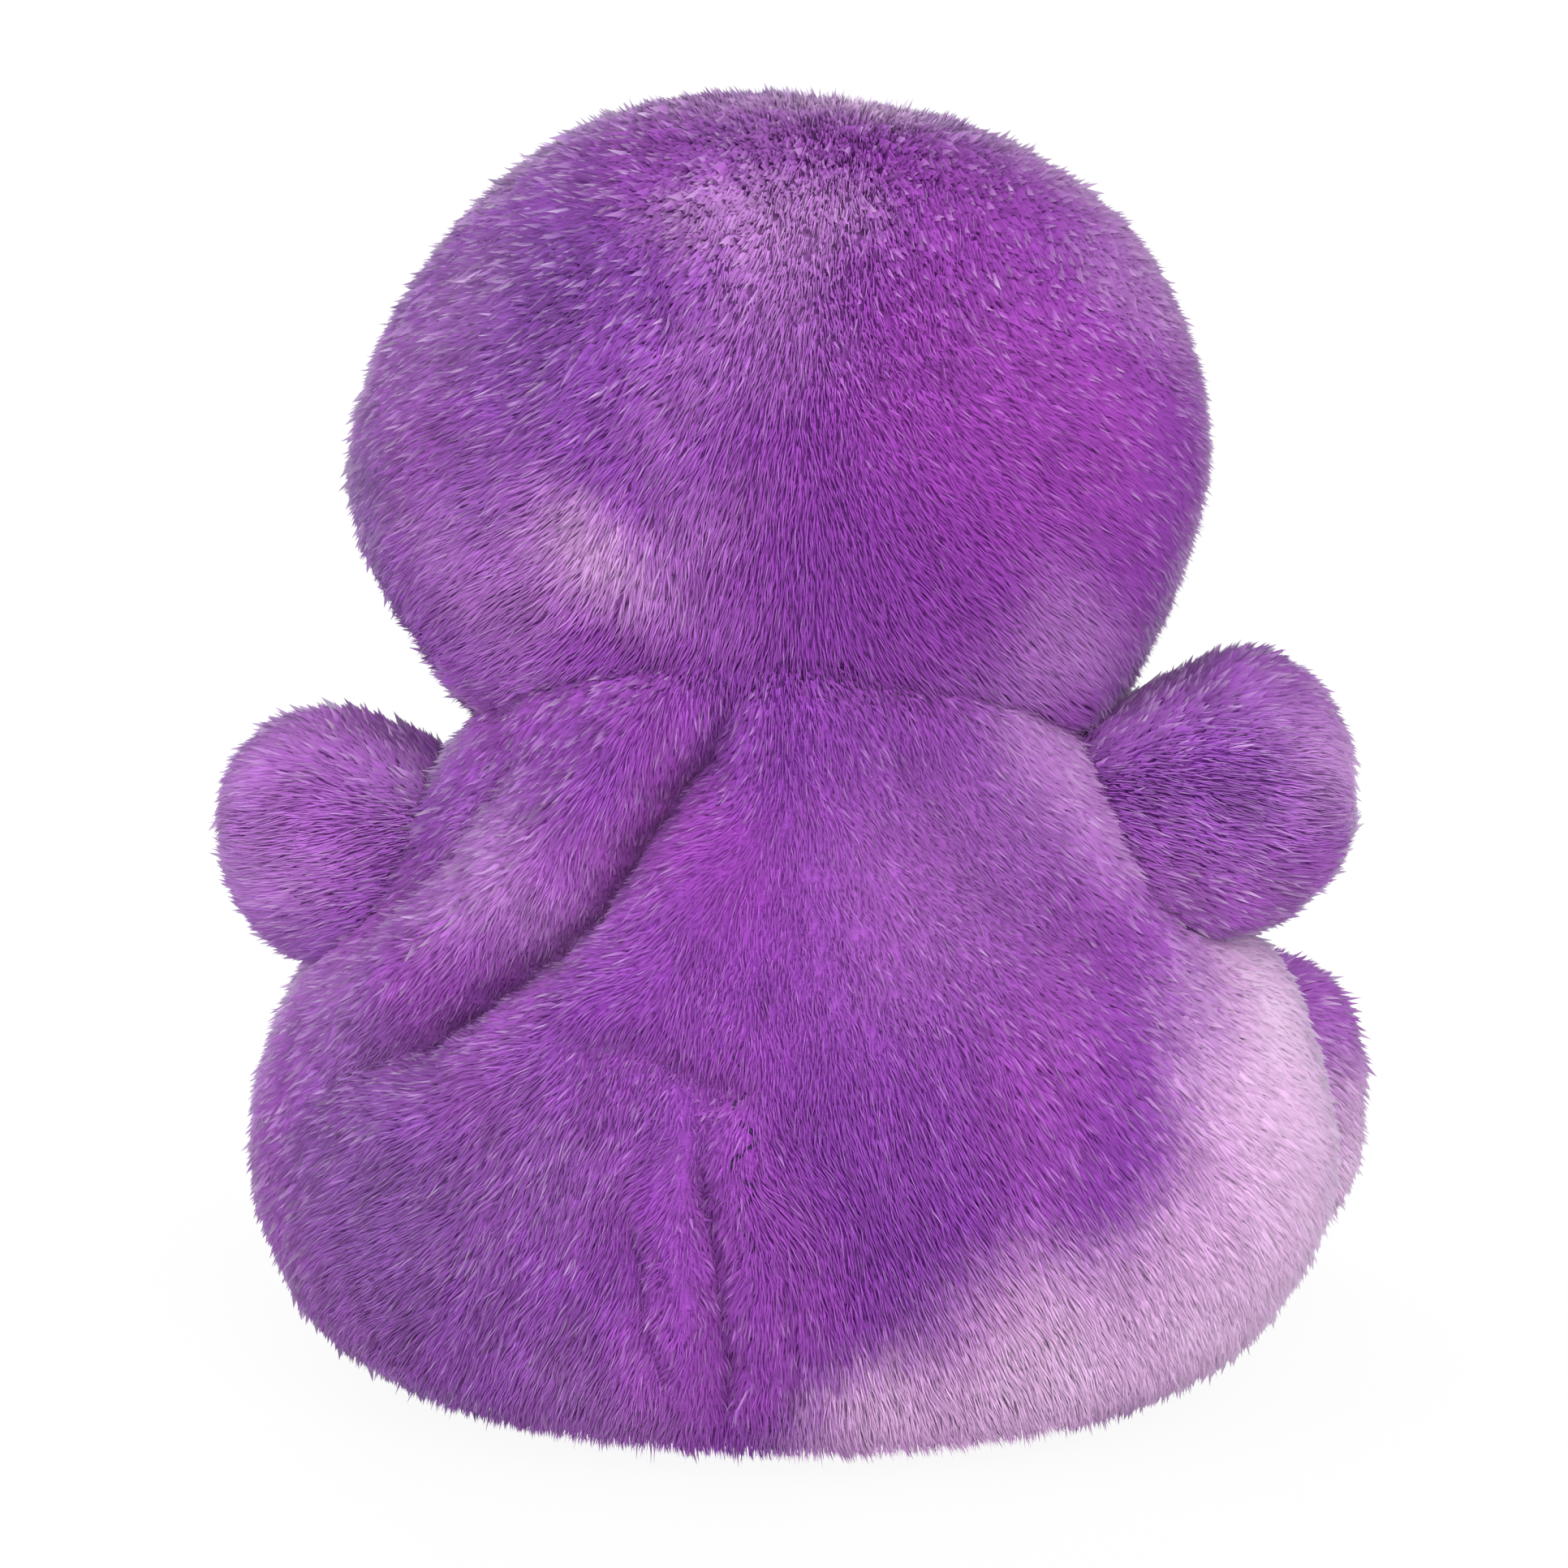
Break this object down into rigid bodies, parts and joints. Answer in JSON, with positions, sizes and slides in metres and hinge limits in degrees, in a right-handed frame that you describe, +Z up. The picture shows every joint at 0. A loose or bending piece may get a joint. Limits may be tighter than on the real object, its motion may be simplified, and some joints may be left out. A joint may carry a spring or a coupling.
{
  "type": "plush sugar skull",
  "caption": "Palm-size seated bean-bag plush with a round skull head, stub arms and turned-up feet; the head nods and turns and the limbs swing on their seams.",
  "frame": {"origin": "on the table under the middle of the seated toy", "axes": "+Z up through the head, the face looks along -Y, and the toy's left side is +X"},
  "size_m": [0.1124, 0.0922, 0.1261],
  "materials": {
    "body_plush": "long shaggy pile, marbled purple and lilac",
    "head_plush": "long shaggy pile, marbled purple and magenta violet",
    "limb_plush": "long shaggy pile, marbled purple",
    "face_plush": "short clipped pile, warm white",
    "backing_cloth": "knitted backing of the plush",
    "fibre": "loose polyester fibre",
    "bag_cotton": "plain woven cotton",
    "pellets": "small round plastic beads",
    "eye_gloss": "polished black",
    "washer": "moulded",
    "thread": "embroidery thread",
    "teal_felt": "felt with a sewn edge",
    "magenta_felt": "felt with a sewn edge"
  },
  "bodies": {
    "torso": {"body_back_left": "body_plush", "body_back_right": "body_plush", "belly_panel": "body_plush", "seat_panel": "body_plush", "body_filling": "fibre", "pellet_bag": "bag_cotton", "pellets": "pellets", "closing_thread": "thread"},
    "neck": {"neck_seam": "backing_cloth"},
    "head": {"head_back_left": "head_plush", "head_back_right": "head_plush", "face_panel": "face_plush", "head_filling": "fibre", "eye_left": "eye_gloss", "eye_right": "eye_gloss", "eye_washer_left": "washer", "eye_washer_right": "washer", "eye_flower_left": "teal_felt", "eye_flower_right": "teal_felt", "nose_patch": "thread", "mouth_stitching": "thread", "forehead_flower": "magenta_felt"},
    "arm_left": {"arm_left_front": "limb_plush", "arm_left_back": "limb_plush", "arm_left_filling": "fibre"},
    "arm_right": {"arm_right_front": "limb_plush", "arm_right_back": "limb_plush", "arm_right_filling": "fibre"},
    "leg_left": {"leg_left_outer": "limb_plush", "leg_left_inner": "limb_plush", "sole_left": "face_plush", "leg_left_filling": "fibre"},
    "leg_right": {"leg_right_outer": "limb_plush", "leg_right_inner": "limb_plush", "sole_right": "face_plush", "leg_right_filling": "fibre"}
  },
  "joints": [
    {"name": "neck_nod", "type": "hinge", "parent": "torso", "child": "neck", "pos_m": [0, 0.01738, 0.04373], "axis": [1, 0, 0], "range_deg": [-6, 6], "stiffness_Nm_per_rad": 0.5},
    {"name": "head_turn", "type": "hinge", "parent": "neck", "child": "head", "pos_m": [0, 0.01738, 0.04373], "axis": [0, -0.5, 0.866], "range_deg": [-15, 15], "stiffness_Nm_per_rad": 0.2},
    {"name": "shoulder_left", "type": "hinge", "parent": "torso", "child": "arm_left", "pos_m": [0.03907, 0.00851, 0.05366], "axis": [0, -1, 0], "range_deg": [-16, 10], "stiffness_Nm_per_rad": 0.03},
    {"name": "shoulder_right", "type": "hinge", "parent": "torso", "child": "arm_right", "pos_m": [-0.03482, 0.00929, 0.06016], "axis": [0, 1, 0], "range_deg": [-16, 10], "stiffness_Nm_per_rad": 0.03},
    {"name": "hip_left", "type": "hinge", "parent": "torso", "child": "leg_left", "pos_m": [0.03492, -0.0206, 0.01391], "axis": [-0.8049, -0.5934, 0], "range_deg": [0, 18], "stiffness_Nm_per_rad": 0.03},
    {"name": "hip_right", "type": "hinge", "parent": "torso", "child": "leg_right", "pos_m": [-0.03492, -0.0206, 0.01391], "axis": [-0.8049, 0.5934, 0], "range_deg": [0, 18], "stiffness_Nm_per_rad": 0.03}
  ]
}
